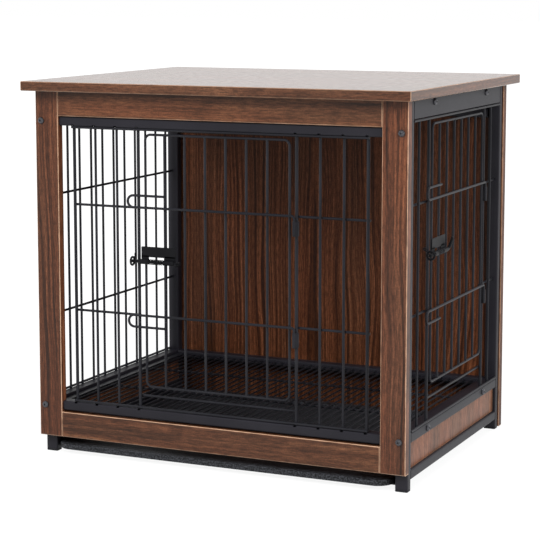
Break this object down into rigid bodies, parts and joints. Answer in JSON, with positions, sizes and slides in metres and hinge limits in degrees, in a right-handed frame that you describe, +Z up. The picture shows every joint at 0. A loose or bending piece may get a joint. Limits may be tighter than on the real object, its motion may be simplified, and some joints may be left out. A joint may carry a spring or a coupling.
{
  "type": "dog crate end table",
  "caption": "Wooden end table around a wire dog crate, with hinged wire doors on the front and one side, a wire floor and a tray that slides out.",
  "frame": {"origin": "on the floor, under the middle of the top board", "axes": "+X to the right seen from the front, +Y from the front to the back, +Z up"},
  "size_m": [0.65, 0.536, 0.6],
  "materials": {
    "wood_laminate": "satin wood-grain laminate",
    "frame_paint": "satin black powder coat",
    "wire_coating": "satin black powder coat",
    "latch_paint": "satin black paint",
    "spring_steel": "blackened spring wire",
    "screw_black": "black oxide",
    "tray_plastic": "fine leather-grain black plastic",
    "foot_plastic": "matt black plastic"
  },
  "bodies": {
    "root": {"top_board": "wood_laminate", "front_left_stile": "wood_laminate", "front_right_stile": "wood_laminate", "front_top_rail": "wood_laminate", "front_bottom_rail": "wood_laminate", "back_panel": "wood_laminate", "left_infill_board": "wood_laminate", "right_infill_board": "wood_laminate", "front_left_post": "frame_paint", "rear_left_post": "frame_paint", "front_right_post": "frame_paint", "rear_right_post": "frame_paint", "left_top_rail": "frame_paint", "left_lower_rail": "frame_paint", "left_bottom_rail": "frame_paint", "right_top_rail": "frame_paint", "right_lower_rail": "frame_paint", "right_bottom_rail": "frame_paint", "front_top_bar": "frame_paint", "front_bottom_bar": "frame_paint", "back_top_bar": "frame_paint", "back_bottom_bar": "frame_paint", "front_wire_panel": "wire_coating", "right_wire_panel": "wire_coating", "left_wire_panel": "wire_coating", "floor_grid": "wire_coating", "front_latch_keeper": "latch_paint", "right_latch_keeper": "latch_paint", "front_left_foot_cap": "foot_plastic", "rear_left_foot_cap": "foot_plastic", "front_right_foot_cap": "foot_plastic", "rear_right_foot_cap": "foot_plastic", "front_left_upper_screw": "screw_black", "front_left_lower_screw": "screw_black", "front_right_upper_screw": "screw_black", "front_right_lower_screw": "screw_black", "back_left_upper_screw": "screw_black", "back_left_lower_screw": "screw_black", "back_right_upper_screw": "screw_black", "back_right_lower_screw": "screw_black", "left_top_rail_screw_1": "screw_black", "left_top_rail_screw_2": "screw_black", "left_lower_rail_screw_1": "screw_black", "left_lower_rail_screw_2": "screw_black", "right_top_rail_screw_1": "screw_black", "right_top_rail_screw_2": "screw_black", "right_lower_rail_screw_1": "screw_black", "right_lower_rail_screw_2": "screw_black"},
    "front_door": {"front_door": "wire_coating", "front_latch_plate": "latch_paint", "front_latch_spring": "spring_steel"},
    "front_bolt_carrier": {"front_spring_washer": "latch_paint"},
    "front_bolt": {"front_latch_bolt": "latch_paint"},
    "right_door": {"right_door": "wire_coating", "right_latch_plate": "latch_paint", "right_latch_spring": "spring_steel"},
    "right_bolt_carrier": {"right_spring_washer": "latch_paint"},
    "right_bolt": {"right_latch_bolt": "latch_paint"},
    "tray": {"tray": "tray_plastic"}
  },
  "joints": [
    {"name": "front_door_hinge", "type": "hinge", "parent": "root", "child": "front_door", "pos_m": [0.1329, -0.2336, 0.322], "axis": [0, 0, 1], "range_deg": [0, 110]},
    {"name": "right_door_hinge", "type": "hinge", "parent": "root", "child": "right_door", "pos_m": [0.3061, 0.1319, 0.345], "axis": [0, 0, 1], "range_deg": [0, 110]},
    {"name": "front_bolt_slide", "type": "slide", "parent": "front_door", "child": "front_bolt_carrier", "axis": [1, 0, 0], "range_m": [0, 0.012], "stiffness_N_per_m": 60, "springref_m": -0.005, "deforming": ["front_latch_spring"]},
    {"name": "front_bolt_turn", "type": "hinge", "parent": "front_bolt_carrier", "child": "front_bolt", "pos_m": [-0.0589, -0.2414, 0.323], "axis": [1, 0, 0], "range_deg": [-85, 85]},
    {"name": "right_bolt_slide", "type": "slide", "parent": "right_door", "child": "right_bolt_carrier", "axis": [0, 1, 0], "range_m": [0, 0.012], "stiffness_N_per_m": 60, "springref_m": -0.005, "deforming": ["right_latch_spring"]},
    {"name": "right_bolt_turn", "type": "hinge", "parent": "right_bolt_carrier", "child": "right_bolt", "pos_m": [0.3139, -0.0599, 0.346], "axis": [0, 1, 0], "range_deg": [-15, 150]},
    {"name": "tray_slide", "type": "slide", "parent": "root", "child": "tray", "axis": [0, -1, 0], "range_m": [0, 0.42]}
  ]
}
